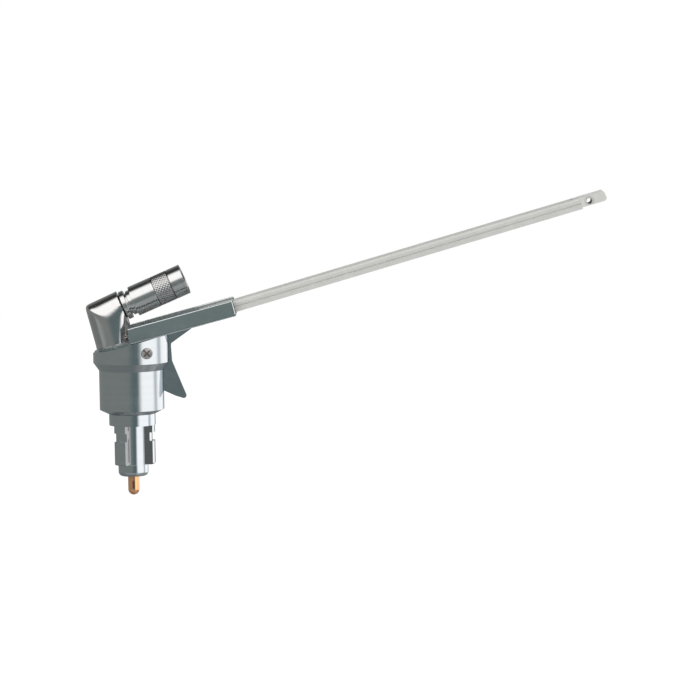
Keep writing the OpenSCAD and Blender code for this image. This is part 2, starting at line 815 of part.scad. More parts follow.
module gallery_o_rings() {
    color("#222222") on_seat() {
        translate([gallery_u, 0, 0]) o_ring(seal_mean_r, ring_r, -ring_r - seal_gap);
        translate([gallery_u, 0, 0]) o_ring(seal_mean_r, ring_r, floor_t + ring_r + seal_gap);
    }
}

// Outer form of the elbow: a mitred leg, swept into the outlet face, with a gusset under it
module elbow_form() {
    hull() {
        on_seat() intersection() {
            translate([-leg_back, 0, floor_t]) cylinder(r = leg_r, h = 2 * bend_h, $fn = hull_fn);
            translate([-leg_back, 0, bend_h - mitre_drop]) rotate([0, mitre_angle, 0])
                translate([-4 * leg_r, -2 * leg_r, -4 * leg_r]) cube([8 * leg_r, 4 * leg_r, 4 * leg_r]);
        }
        on_nozzle() translate([0, 0, -over]) cylinder(r = outlet_r, h = over, $fn = hull_fn);
        on_nozzle() translate([gusset_drop, 0, -gusset_r - gusset_inset]) sphere(r = gusset_r, $fn = hull_fn);
    }
}

module elbow_head() {
    color("#9da2a3") difference() {
        elbow_form();
        on_seat() translate([gallery_u, 0, 0]) rod(passage_r, 0, passage_w);
        on_seat() translate([gallery_u, 0, passage_w]) sphere(r = passage_r);
        on_nozzle() rod(passage_r, passage_s, over);
        on_nozzle() rod(nozzle_thread_r + still_fit, -nozzle_thread_len - end_gap, over);
        on_seat() translate([gallery_u, 0, 0]) seal_groove(floor_t - over, floor_t + ring_groove);
        on_seat() for (y = foot_screws_at) translate([-leg_back, y, 0])
            rod(foot_screw_r + still_fit, 0, foot_screw_w1 + end_gap);
    }
}

module elbow_screws() {
    color("#4c5154") on_seat() for (y = foot_screws_at) translate([-leg_back, y, 0]) difference() {
        union() {
            translate([0, 0, still_fit])
                cylinder(r1 = foot_screw_head_r, r2 = foot_screw_r, h = foot_screw_head_h);
            rod(foot_screw_r, foot_screw_head_h, foot_screw_w1);
        }
        translate([0, 0, -over]) cylinder(r = 0.6 * foot_screw_r, h = over + foot_hex_depth, $fn = 6);
    }
}

// Slot, tongue or pin room that the bar and its end block share
module tongue(grow) {
    z0 = (bar_t - tongue_t) / 2;
    translate([bar_len - tongue_len - grow, -tongue_w / 2 - grow, z0 - grow])
        cube([tongue_len + over, tongue_w + 2 * grow, tongue_t + 2 * grow]);
}

module handle_bar() {
    hole_r = bar_screw_r + still_fit;
    sink_r = bar_screw_head_r + still_fit;
    mid = bar_t / 2;
    inner = bar_half - side_groove_depth;
    right = [
        [bar_half, 0], [bar_half, mid - groove_half], [inner, mid - groove_half], [inner, mid + groove_half],
        [bar_half, mid + groove_half], [bar_half, bar_t - bar_bevel], [bar_half - bar_bevel, bar_t]
    ];
    left = [for (i = [len(right) - 1 : -1 : 0]) [-right[i][0], right[i][1]]];
    color("#c9c8c2") on_bar() difference() {
        rotate([90, 0, 90]) linear_extrude(height = bar_len) polygon(concat(right, left));
        tongue(still_fit);
        for (a = bar_screws_at) translate([a, 0, 0]) {
            rod(hole_r, -over, bar_t + over);
            translate([0, 0, bar_t - bar_screw_head_h])
                cylinder(r1 = hole_r, r2 = sink_r, h = bar_screw_head_h);
        }
        for (y = end_pins_at) translate([end_pin_a, y, 0]) rod(end_pin_r + still_fit, -over, bar_t + over);
    }
}

module bar_screws() {
    color("#4c5154") on_bar() for (a = bar_screws_at) translate([a, 0, 0]) difference() {
        union() {
            translate([0, 0, bar_t - bar_screw_head_h])
                cylinder(r1 = bar_screw_r, r2 = bar_screw_head_r, h = bar_screw_head_h);
            rod(bar_screw_r, -bar_screw_tip, bar_t - bar_screw_head_h);
        }
        translate([0, 0, bar_t - bar_hex_depth])
            cylinder(r = 0.6 * bar_screw_r, h = bar_hex_depth + over, $fn = 6);
    }
}

module end_block() {
    color("#c1c0b8") on_bar() difference() {
        union() {
            tongue(0);
            upright_plate(bar_w) polygon(concat(
                [[bar_len, block_z0]],
                arc([handle_len - block_round, block_z0 + block_round], block_round, -90, 0),
                [
                    [handle_len - block_lean, bar_t - block_bevel],
                    [handle_len - block_bevel - block_lean, bar_t],
                    [bar_len, bar_t]
                ]
            ));
        }
        for (y = end_pins_at) translate([end_pin_a, y, 0]) rod(end_pin_r + still_fit, -over, bar_t + over);
        translate([eye_a, 0, eye_z]) rotate([90, 0, 0]) {
            rod(eye_r, -bar_half - over, bar_half + over);
            for (side = [0, 180]) rotate([side, 0, 0]) translate([0, 0, bar_half - eye_flare_depth])
                cylinder(r1 = eye_r, r2 = eye_r + eye_flare, h = eye_flare_depth);
        }
    }
}

module end_block_pins() {
    color("#9aa0a3") on_bar() for (y = end_pins_at) translate([end_pin_a, y, 0]) rod(end_pin_r, 0, bar_t);
}

module neck_washer() {
    color("#2b2b2b") on_nozzle() ring(nozzle_thread_r + still_fit, neck_washer_r, 0, neck_washer_h);
}

module coupling_neck() {
    color("#a7abad") on_nozzle() rotate_extrude() polygon([
        [air_r, -nozzle_thread_len], [nozzle_thread_r, -nozzle_thread_len], [nozzle_thread_r, neck_washer_h],
        [ring_d_half, neck_washer_h], [ring_d_half, ring_s1], [groove_r, ring_s1], [groove_r, groove_s1],
        [neck_r, groove_s1], [neck_r, land_s1], [joint_r, land_s1], [joint_r, joint_s1],
        [poppet_pocket_r, joint_s1], [poppet_pocket_r, poppet_pocket_s0], [air_r, poppet_pocket_s0]
    ]);
}

module socket_body() {
    ring_half = plug_ring_r + 0.1;
    ring_out = plug_ring_mean + plug_ring_r + 0.05;
    color("#8b9092") on_nozzle() difference() {
        rotate_extrude() polygon([
            [joint_r + still_fit, socket_s0], [socket_r, socket_s0], [socket_r, lip_s0], [lip_r, lip_s0],
            [lip_r, socket_s1], [mouth_r, socket_s1], [mouth_r, mouth_s0], [plug_r, mouth_s0],
            [plug_r, plug_ring_s + ring_half], [ring_out, plug_ring_s + ring_half],
            [ring_out, plug_ring_s - ring_half], [plug_r, plug_ring_s - ring_half], [plug_r, seat_s1],
            [seat_r, seat_s1], [seat_r, seat_s0], [chamber_bore_r, seat_s0],
            [chamber_bore_r, joint_s1 + face_gap], [joint_r + still_fit, joint_s1 + face_gap]
        ]);
        for (i = [1 : ball_count]) rotate([0, 0, 360 * i / ball_count])
            translate([0, 0, ball_s]) rotate([0, 90, 0]) rod(ball_r + run_fit, plug_r / 2, socket_r + over);
    }
}

module socket_o_ring() {
    color("#222222") on_nozzle() o_ring(plug_ring_mean, plug_ring_r, plug_ring_s);
}

module locking_balls() {
    color("#d5d8da") on_nozzle() for (i = [1 : ball_count])
        rotate([0, 0, 360 * i / ball_count]) translate([ball_at, 0, ball_s]) sphere(r = ball_r);
}

module locking_sleeve() {
    band_r = sleeve_r - knurl_groove_depth;
    color("#b5b8b9") on_nozzle() rotate_extrude() polygon([
        [neck_r + run_fit, sleeve_gap], [sleeve_r - sleeve_chamfer, sleeve_gap],
        [sleeve_r, sleeve_gap + sleeve_chamfer],
        [sleeve_r, knurl_s0 - knurl_groove_w], [band_r, knurl_s0 - knurl_groove_w], [band_r, knurl_s0],
        [sleeve_r, knurl_s0], [sleeve_r, knurl_s1], [band_r, knurl_s1], [band_r, knurl_s1 + knurl_groove_w],
        [sleeve_r, knurl_s1 + knurl_groove_w], [sleeve_r, sleeve_s1 - sleeve_chamfer],
        [sleeve_r - sleeve_chamfer, sleeve_s1], [recess_r, sleeve_s1], [recess_r, lock_s1], [lock_r, lock_s1],
        [lock_r, lock_s0], [recess_r, lock_s0], [recess_r, pocket_s0], [neck_r + run_fit, pocket_s0]
    ]);
}

module sleeve_spring() {
    color("#8f9496") on_nozzle() coil(sleeve_spring_r, sleeve_wire_r, land_s1, lock_s0, sleeve_turns);
}

module check_poppet() {
    color("#c9a64f") on_nozzle() difference() {
        union() {
            rod(poppet_r, poppet_s0, poppet_s1);
            rod(poppet_nose_r, poppet_s1, poppet_s1 + poppet_nose_len);
            rod(poppet_tail_r, poppet_s0 - poppet_tail_len, poppet_s0);
        }
        for (i = [1 : notch_count]) rotate([0, 0, 360 * i / notch_count]) translate([poppet_r, 0, 0])
            rod(notch_r, poppet_s0 - over, poppet_s1 + over);
    }
}

module poppet_seal() {
    color("#2b2b2b") on_nozzle() ring(poppet_nose_r + still_fit, poppet_seal_r, poppet_s1, poppet_seal_s1);
}

module poppet_spring() {
    color("#8f9496") on_nozzle()
        coil(poppet_spring_r, poppet_wire_r, poppet_pocket_s0, poppet_s0, poppet_turns);
}

valve_body();
nose_spigot();
nose_o_ring();
tip_bush();
valve_seat_ring();
gland_bush();
gland_o_rings();
plunger();
valve_disc();
probe_pin();
rod_clip();
spring_washer();
plunger_spring();
trigger();
pivot_screw();
channel_arm();
arm_screws();
gallery_o_rings();
elbow_head();
elbow_screws();
handle_bar();
bar_screws();
end_block();
end_block_pins();
neck_washer();
coupling_neck();
socket_body();
socket_o_ring();
locking_balls();
locking_sleeve();
sleeve_spring();
check_poppet();
poppet_seal();
poppet_spring();
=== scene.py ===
"""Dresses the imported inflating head: its finishes, soft edges, cast elbow, knurled sleeve and studio."""

import json
import math

import bpy
from mathutils import Matrix, Vector


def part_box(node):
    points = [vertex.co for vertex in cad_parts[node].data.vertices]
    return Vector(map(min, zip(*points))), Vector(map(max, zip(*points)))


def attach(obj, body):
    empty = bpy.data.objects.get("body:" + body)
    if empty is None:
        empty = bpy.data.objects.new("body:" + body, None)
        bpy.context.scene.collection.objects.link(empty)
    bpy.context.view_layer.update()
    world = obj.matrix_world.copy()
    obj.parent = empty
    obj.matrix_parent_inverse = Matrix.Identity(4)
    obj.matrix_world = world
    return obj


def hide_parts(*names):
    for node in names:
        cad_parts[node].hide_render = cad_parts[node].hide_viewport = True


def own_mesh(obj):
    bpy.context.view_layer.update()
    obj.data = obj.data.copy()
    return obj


bl_info = {
    "name": "Inflating head",
    "version": (1, 0, 0),
    "blender": (4, 5, 0),
    "location": "View3D > Sidebar > Inflating head",
    "description": "Dresses the packed inflating head and lights it in a plain studio",
    "category": "Object",
}

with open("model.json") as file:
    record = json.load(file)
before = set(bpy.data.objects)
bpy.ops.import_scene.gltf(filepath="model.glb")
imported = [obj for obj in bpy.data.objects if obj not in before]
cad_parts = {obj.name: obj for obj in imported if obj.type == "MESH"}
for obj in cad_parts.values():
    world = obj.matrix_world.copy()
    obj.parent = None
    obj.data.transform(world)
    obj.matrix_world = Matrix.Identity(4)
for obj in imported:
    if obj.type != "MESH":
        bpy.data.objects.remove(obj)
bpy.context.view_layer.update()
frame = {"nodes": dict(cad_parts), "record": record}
MM = 0.001

SEAT_TILT = math.radians(14.3)
NOZZLE_TILT = math.radians(23)
BAR_TILT = math.radians(15.6)
SEAT = Vector((0, 0, 66.9)) * MM
BAR = Vector((57.65, 0, 83.66)) * MM

# the coupling, in mm: heights along its axis from the elbow's outlet face, and radii
SLEEVE_BACK = 9.9
SLEEVE_FRONT = 55.1
SLEEVE_RADIUS = 12.5
SLEEVE_THROAT = 10.25
SLEEVE_HOLLOW = 11.2
THROAT_LENGTH = 10.2
KNURL_BACK = 30.3
KNURL_FRONT = 43.3
BORDER_WIDTH = 0.8
BORDER_DEPTH = 0.3

# how far out from a diamond's middle, as a share of the way to its edge, the knurl falls off, and its painted
# shade begins
GROOVE_START = 0.35
GROOVE_SHADE_START = 0.55

# the nose's body, inside the lugs, in mm
NOSE_RADIUS = 12.2

# a painted reflection, a dark stripe down the probe pin's front: its ends above the tip and its width, in mm
PAINTED_STRIPE_LEVELS = (5.3, 11.8)
PAINTED_STRIPE_WIDTH = 1.9

# the elbow's plain ends, above its foot and before its outlet, and how fast its softness sets in, in mm
ELBOW_FOOT = 2.9
ELBOW_OUTLET = 0.3
ELBOW_FADE = 1.2

# the channel, in mm along its slope: where its folds start, and by how much its walls reach further back
WALL_THICKNESS = 2
FOLD_START = 2.2
WALL_LONGER = 1.5

# the pivot screw's cross slot, where its painted shade lies: its reach from the middle, and its levels under
# the head's face, in mm
SLOT_REACH = 3.5
SLOT_LEVELS = (0.5, 2)

# two places nearer than this, in metres, are the same
NEAR = 1e-5

# what the camera looks at, and the floor's middle, size, colour and glow
TARGET = Vector((172.2, 0, 64.1)) * MM
FLOOR_MIDDLE = 0.17
FLOOR_SIZE = 8
FLOOR_TONE = 0.8
FLOOR_GLOW = 0.30


def leaning(origin, tilt):
    """The matrix from a frame whose X axis rises by tilt to the object's frame."""
    return Matrix.Translation(origin) @ Matrix.Rotation(-tilt, 4, "Y")


def nozzle_origin():
    """The middle of the elbow's outlet face, found from the middle of the sleeve."""
    low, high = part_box("locking_sleeve")
    along = Vector((math.cos(NOZZLE_TILT), 0, math.sin(NOZZLE_TILT)))
    return (low + high) / 2 - along * (SLEEVE_BACK + SLEEVE_FRONT) / 2 * MM


NOZZLE = leaning(nozzle_origin(), NOZZLE_TILT)
NOZZLE_AXIS = NOZZLE @ Matrix.Rotation(math.radians(90), 4, "Y")


# ---------------------------------------------------------------- settings


def length(name, text, value, low, high):
    """A length in metres that a user may change."""
    return bpy.props.FloatProperty(
        name=name,
        description=text,
        default=value,
        min=low,
        max=high,
        subtype="DISTANCE",
        unit="LENGTH",
        precision=5,
    )


def colour(name, text, value):
    """A linear colour that a user may change."""
    return bpy.props.FloatVectorProperty(
        name=name, description=text, default=value, min=0, max=1, size=3, subtype="COLOR"
    )


def number(name, text, value, low, high):
    """A plain number that a user may change."""
    return bpy.props.FloatProperty(name=name, description=text, default=value, min=low, max=high)


class ShapeSizes(bpy.types.PropertyGroup):
    """Sizes of the details that the finished pieces add to the frame."""

    edge: length("Edge", "Rounding of the turned and milled edges", 0.00035, 0.0001, 0.0008)
    fine_edge: length("Fine edge", "Rounding of small edges", 0.00015, 0.00005, 0.0004)
    bend: length("Bend", "Outer radius of the channel's two folds", 0.0018, 0.0005, 0.0019)
    lip: length("Lip", "Rounding of the channel's upper edges", 0.0009, 0.0002, 0.00095)
    cast_grid: length("Cast grid", "Cell of the elbow's modelling grid", 0.00055, 0.0004, 0.001)
    cast_smoothing: bpy.props.IntProperty(
        name="Cast smoothing", description="Smoothing passes on the elbow", default=150, min=4, max=400
    )
    knurl_count: bpy.props.IntProperty(
        name="Knurl count", description="Diamonds round the sleeve", default=32, min=24, max=80
    )
    knurl_rows: bpy.props.IntProperty(
        name="Knurl rows", description="Diamonds along the sleeve's band", default=5, min=4, max=14
    )
    knurl_depth: length("Knurl depth", "Depth of the knurl's grooves", 0.0003, 0.0001, 0.0008)


class FinishColours(bpy.types.PropertyGroup):
    """Colours of the finishes, in linear light."""

    cast_alloy: colour("Body alloy", "Turned body", (0.60, 0.625, 0.64))
    nose_alloy: colour("Nose alloy", "Bayonet nose", (0.60, 0.63, 0.655))
    chromed_zinc: colour("Elbow", "Polished cast elbow", (0.66, 0.65, 0.645))
    plated_steel: colour("Coupling", "Plated coupling parts", (0.66, 0.655, 0.65))
    arm_steel: colour("Channel", "Pressed channel", (0.225, 0.275, 0.28))
    trigger_steel: colour("Trigger", "Trigger plate", (0.50, 0.56, 0.60))
    bar_alloy: colour("Bar", "Matt bar", (0.79, 0.79, 0.75))
    end_plastic: colour("End block", "Block at the bar's end", (0.74, 0.74, 0.71))
    copper_alloy: colour("Probe pin", "Copper-coloured pin", (0.97, 0.50, 0.26))
    brass_bush: colour("Bushes", "Inner bushes", (0.76, 0.60, 0.30))
    screw_steel: colour("Screws", "Screw heads", (0.66, 0.61, 0.59))
    bright_steel: colour("Ground steel", "Rod, pins and balls", (0.66, 0.67, 0.68))
    spring_steel: colour("Springs", "Drawn wire", (0.45, 0.46, 0.47))
    black_rubber: colour("Seals", "Rubber seals", (0.030, 0.030, 0.031))


class StudioSettings(bpy.types.PropertyGroup):
    """The camera, the floor and the light."""

    distance: length("Distance", "Camera's distance from the object", 3.4, 1, 6)
    lens: number("Lens", "Camera's focal length in mm", 219.7, 50, 400)
    elevation: bpy.props.FloatProperty(
        name="Elevation", description="Camera's height angle", default=math.radians(5), subtype="ANGLE"
    )
    roll: bpy.props.FloatProperty(
        name="Roll", description="Camera's turn about its own axis", default=math.radians(-1), subtype="ANGLE"
    )
    floor_drop: length("Floor", "Drop of the floor below the origin", 0.236, 0.06, 0.6)
    fill: number("Fill", "Even light on matt surfaces", 0.95, 0.2, 2)
    softbox: number("Softboxes", "Brightness of the bright panels in reflections", 1.0, 0.2, 3)


# ---------------------------------------------------------------- modelling helpers


def only(piece):
    """Selects this piece alone and makes it active."""
    bpy.ops.object.select_all(action="DESELECT")
    piece.select_set(True)
    bpy.context.view_layer.objects.active = piece


def named(name):
    """The object that an operator just added, under its own name."""
    piece = bpy.context.active_object
    piece.name = name
    piece.data.name = name
    return piece


def settle(piece):
    """Puts the piece's place into its mesh, so that its object sits at the origin."""
    only(piece)
    bpy.ops.object.transform_apply(location=True, rotation=True, scale=True)


def copy_of(node, name):
    """A closed copy of a frame node's mesh as a piece of its own."""
    piece = bpy.data.objects.new(name, frame["nodes"][node].data.copy())
    bpy.context.scene.collection.objects.link(piece)
    piece.data.name = name
    only(piece)
    bpy.ops.mesh.customdata_custom_splitnormals_clear()
    bpy.ops.object.mode_set(mode="EDIT")
    bpy.ops.mesh.select_all(action="SELECT")
    bpy.ops.mesh.remove_doubles(threshold=2e-6)
    bpy.ops.mesh.dissolve_limited(angle_limit=math.radians(0.4))
    bpy.ops.object.mode_set(mode="OBJECT")
    return piece


def pick_edges(piece, wanted):
    """Selects the edges whose two ends both satisfy wanted(point)."""
    only(piece)
    bpy.ops.object.mode_set(mode="EDIT")
    bpy.ops.mesh.select_mode(type="EDGE")
    bpy.ops.mesh.select_all(action="DESELECT")
    bpy.ops.object.mode_set(mode="OBJECT")
    for edge in piece.data.edges:
        edge.select = all(wanted(piece.data.vertices[v].co) for v in edge.vertices)
    bpy.ops.object.mode_set(mode="EDIT")
    bpy.ops.mesh.select_mode(type="EDGE")


def round_edges(piece, width, segments=2, sharper_than=28):
    """Rounds every edge that is sharper than the angle, with a bevel modifier that is then applied."""
    only(piece)
    bevel = piece.modifiers.new("edges", "BEVEL")
    bevel.width = width
    bevel.segments = segments
    bevel.limit_method = "ANGLE"
    bevel.angle_limit = math.radians(sharper_than)
    bevel.use_clamp_overlap = True
    bevel.miter_outer = "MITER_ARC"
    bpy.ops.object.modifier_apply(modifier=bevel.name)


def smooth(piece, angle=32):
    """Smooth shading up to this angle, in which large flat faces stay flat beside rounded edges."""
    only(piece)
    bpy.ops.object.shade_smooth_by_angle(angle=math.radians(angle))
    weigh = piece.modifiers.new("flat faces first", "WEIGHTED_NORMAL")
    weigh.mode = "FACE_AREA"
    weigh.keep_sharp = True
    bpy.ops.object.modifier_apply(modifier=weigh.name)


def mark_faces(piece, mark, amount):
    """Gives each face a mark of amount(face), from 0 to 1, for the finish to read."""
    marks = piece.data.attributes.new(mark, "FLOAT", "FACE")
    for face, value in zip(piece.data.polygons, marks.data):
        value.value = float(amount(face))


def finish_piece(piece, body, slot, *nodes, angle=32):
    """Shades a piece, gives it its finish, seats it on its body and lets it stand for its nodes."""
    smooth(piece, angle)
    piece.data.materials.clear()
    piece.data.materials.append(finish_of(slot))
    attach(piece, body)
    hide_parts(*nodes)


def eased(corners, radius=0.25, steps=4):
    """The closed outline with every corner rounded off by a short curve."""
    outline = []
    for i, corner in enumerate(corners):
        here = Vector(corner)
        before = Vector(corners[i - 1]) - here
        after = Vector(corners[(i + 1) % len(corners)]) - here
        reach = min(radius, 0.45 * before.length, 0.45 * after.length)
        start = here + before.normalized() * reach
        end = here + after.normalized() * reach
        for k in range(steps + 1):
            t = k / steps
            outline.append(start * (1 - t) ** 2 + here * 2 * t * (1 - t) + end * t**2)
    return outline


def turned(name, profile, steps, matrix=None):
    """A ring turned from a closed profile of (radius, height) points in mm about the Z axis of matrix."""
    bpy.ops.object.select_all(action="DESELECT")
    bpy.ops.mesh.primitive_circle_add(vertices=len(profile), radius=MM, fill_type="NOTHING")
    piece = named(name)
    for vertex, (radius, height) in zip(piece.data.vertices, profile):
        vertex.co = Vector((radius, 0, height)) * MM
    bpy.ops.object.mode_set(mode="EDIT")
    bpy.ops.mesh.select_all(action="SELECT")
    bpy.ops.mesh.spin(steps=steps, angle=2 * math.pi, center=(0, 0, 0), axis=(0, 0, 1))
    bpy.ops.mesh.select_all(action="SELECT")
    bpy.ops.mesh.remove_doubles(threshold=1e-6)
    bpy.ops.mesh.normals_make_consistent(inside=False)
    bpy.ops.object.mode_set(mode="OBJECT")
    if matrix is not None:
        piece.data.transform(matrix)
    return piece


# ---------------------------------------------------------------- shader groups


def new_group(name, inputs, outputs):
    """An empty shader group with its sockets. Returns the group, its input node and its output node."""
    group = bpy.data.node_groups.new(name, "ShaderNodeTree")
    for socket, kind, value in inputs:
        made = group.interface.new_socket(socket, in_out="INPUT", socket_type=kind)
        if value is not None:
            made.default_value = value
    for socket, kind in outputs:
        group.interface.new_socket(socket, in_out="OUTPUT", socket_type=kind)
    return group, group.nodes.new("NodeGroupInput"), group.nodes.new("NodeGroupOutput")


def maths(tree, operation, first, second=None, third=None):
    """A Math node whose inputs are sockets or numbers."""
    node = tree.nodes.new("ShaderNodeMath")
    node.operation = operation
    for socket, value in zip(node.inputs, (first, second, third)):
        if isinstance(value, (int, float)):
            socket.default_value = value
        elif value is not None:
            tree.links.new(value, socket)
    return node.outputs[0]


def noise(tree, vector, scale, detail=3, rough=0.55, distortion=0.0):
    """A noise value from a vector socket."""
    node = tree.nodes.new("ShaderNodeTexNoise")
    node.inputs["Detail"].default_value = detail
    node.inputs["Roughness"].default_value = rough
    node.inputs["Distortion"].default_value = distortion
    if isinstance(scale, (int, float)):
        node.inputs["Scale"].default_value = scale
    else:
        tree.links.new(scale, node.inputs["Scale"])
    tree.links.new(vector, node.inputs["Vector"])
    return node.outputs["Fac"]


def between(tree, value, low, high, to_low=0.0, to_high=1.0):
    """Maps a value from one range to another along a soft curve, held at the ends."""
    node = tree.nodes.new("ShaderNodeMapRange")
    node.interpolation_type = "SMOOTHSTEP"
    for socket, limit in zip(node.inputs[1:5], (low, high, to_low, to_high)):
        socket.default_value = limit
    tree.links.new(value, node.inputs[0])
    return node.outputs[0]


def turned_group():
    """Fine rings that a turning tool leaves round the Z axis, and faint bands in them."""
    group, inside, outside = new_group(
        "turned rings",
        [
            ("Vector", "NodeSocketVector", None),
            ("Rings", "NodeSocketFloat", 5200.0),
            ("Bands", "NodeSocketFloat", 260.0),
        ],
        [("Height", "NodeSocketFloat"), ("Shade", "NodeSocketFloat")],
    )
    split = group.nodes.new("ShaderNodeSeparateXYZ")
    group.links.new(inside.outputs["Vector"], split.inputs[0])
    right, away = (maths(group, "POWER", split.outputs[axis], 2.0) for axis in (0, 1))
    across = maths(group, "SQRT", maths(group, "ADD", right, away))
    lie = group.nodes.new("ShaderNodeCombineXYZ")
    group.links.new(across, lie.inputs[0])
    group.links.new(split.outputs[2], lie.inputs[1])
    rings = noise(group, lie.outputs[0], inside.outputs["Rings"], detail=4, rough=0.7)
    bands = noise(group, lie.outputs[0], inside.outputs["Bands"], detail=2)
    group.links.new(rings, outside.inputs["Height"])
    group.links.new(between(group, bands, 0.35, 0.65), outside.inputs["Shade"])
    return group


def cast_group():
    """The slight waviness and pores of a polished casting or moulding."""
    group, inside, outside = new_group(
        "cast skin",
        [
            ("Vector", "NodeSocketVector", None),
            ("Waves", "NodeSocketFloat", 90.0),
            ("Grain", "NodeSocketFloat", 2400.0),
        ],
        [("Height", "NodeSocketFloat"), ("Shade", "NodeSocketFloat")],
    )
    waves = noise(group, inside.outputs["Vector"], inside.outputs["Waves"], detail=2)
    grain = noise(group, inside.outputs["Vector"], inside.outputs["Grain"], detail=3, rough=0.7)
    height = maths(group, "ADD", maths(group, "MULTIPLY", waves, 0.6), maths(group, "MULTIPLY", grain, 0.4))
    group.links.new(height, outside.inputs["Height"])
    group.links.new(between(group, waves, 0.35, 0.65), outside.inputs["Shade"])
    return group


def drawn_group():
    """Long faint lines along the X axis, as rolling, drawing or brushing leaves them."""
    group, inside, outside = new_group(
        "drawn lines",
        [
            ("Vector", "NodeSocketVector", None),
            ("Lines", "NodeSocketFloat", 2600.0),
            ("Stretch", "NodeSocketFloat", 0.012),
        ],
        [("Height", "NodeSocketFloat"), ("Shade", "NodeSocketFloat")],
    )
    split = group.nodes.new("ShaderNodeSeparateXYZ")
    group.links.new(inside.outputs["Vector"], split.inputs[0])
    lie = group.nodes.new("ShaderNodeCombineXYZ")
    group.links.new(maths(group, "MULTIPLY", split.outputs[0], inside.outputs["Stretch"]), lie.inputs[0])
    group.links.new(split.outputs[1], lie.inputs[1])
    group.links.new(split.outputs[2], lie.inputs[2])
    lines = noise(group, lie.outputs[0], inside.outputs["Lines"], detail=4, rough=0.65)
    cloud = noise(group, inside.outputs["Vector"], 60.0, detail=3)
    group.links.new(lines, outside.inputs["Height"])
    group.links.new(between(group, cloud, 0.3, 0.7), outside.inputs["Shade"])
    return group


def wear_group():
    """Signs of handling: soft smudges and a few short scratches, as masks from 0 to 1."""
    group, inside, outside = new_group(
        "handling marks",
        [("Vector", "NodeSocketVector", None), ("Size", "NodeSocketFloat", 70.0)],
        [("Smudge", "NodeSocketFloat"), ("Scratch", "NodeSocketFloat")],
    )
    vector, size = inside.outputs["Vector"], inside.outputs["Size"]
    smudge = noise(group, vector, size, detail=5, rough=0.62, distortion=0.6)
    thin = group.nodes.new("ShaderNodeMapping")
    thin.inputs["Rotation"].default_value = (0.5, 0.9, 0.35)
    thin.inputs["Scale"].default_value = (1.0, 26.0, 26.0)
    group.links.new(vector, thin.inputs["Vector"])
    scratch = noise(group, thin.outputs[0], size, detail=1)
    group.links.new(between(group, smudge, 0.42, 0.72), outside.inputs["Smudge"])
    group.links.new(between(group, scratch, 0.70, 0.76), outside.inputs["Scratch"])
    return group


GROUPS = {}
FINISHES = {}

# the colours that marked places turn to: painted shade, dark, in slots, grooves and lug flanks and as a
# painted reflection down the pin; and a painted highlight, pale, on the channel's edges and folds, with
# painted light inside it
MARKS = {"painted_shade": (0.12, 0.10, 0.095, 1), "painted_highlight": (0.90, 0.93, 0.94, 1)}


def group_named(name):
    """One of the shared shader groups, made on first use."""
    makers = {"turned": turned_group, "cast": cast_group, "drawn": drawn_group, "wear": wear_group}
    if name not in GROUPS:
        GROUPS[name] = makers[name]()
    return GROUPS[name]


# finish, as: texture group, placing matrix or None, metallic, roughness low and high, bump distance in mm,
# how much darker the shade's low side is, values for the group's own inputs
RECIPES = {
    "cast_alloy": ("turned", None, 1.0, 0.15, 0.21, 0.0030, 0.05, {}),
    "nose_alloy": ("turned", None, 1.0, 0.08, 0.14, 0.0020, 0.05, {}),
    "chromed_zinc": ("cast", None, 1.0, 0.11, 0.17, 0.0060, 0.04, {}),
    "plated_steel": ("turned", NOZZLE_AXIS, 1.0, 0.15, 0.21, 0.0022, 0.05, {}),
    "arm_steel": ("drawn", leaning(SEAT, SEAT_TILT), 0.4, 0.20, 0.30, 0.0012, 0.10, {}),
    "trigger_steel": ("cast", None, 1.0, 0.13, 0.22, 0.0040, 0.12, {"Waves": 160.0}),
    "bar_alloy": ("drawn", leaning(BAR, BAR_TILT), 0.25, 0.38, 0.50, 0.0040, 0.06, {}),
    "end_plastic": ("cast", None, 0.0, 0.42, 0.55, 0.0080, 0.06, {}),
    "copper_alloy": ("turned", None, 0.85, 0.06, 0.12, 0.0020, 0.10, {}),
    "brass_bush": ("turned", None, 1.0, 0.20, 0.30, 0.0030, 0.08, {}),
    "screw_steel": ("cast", None, 0.7, 0.24, 0.42, 0.0150, 0.35, {"Waves": 520.0, "Grain": 3600.0}),
    "bright_steel": ("turned", None, 1.0, 0.10, 0.16, 0.0010, 0.04, {}),
    "spring_steel": ("cast", None, 1.0, 0.25, 0.35, 0.0020, 0.08, {"Waves": 400.0}),
    "black_rubber": ("cast", None, 0.0, 0.50, 0.65, 0.0100, 0.10, {"Waves": 300.0}),
}


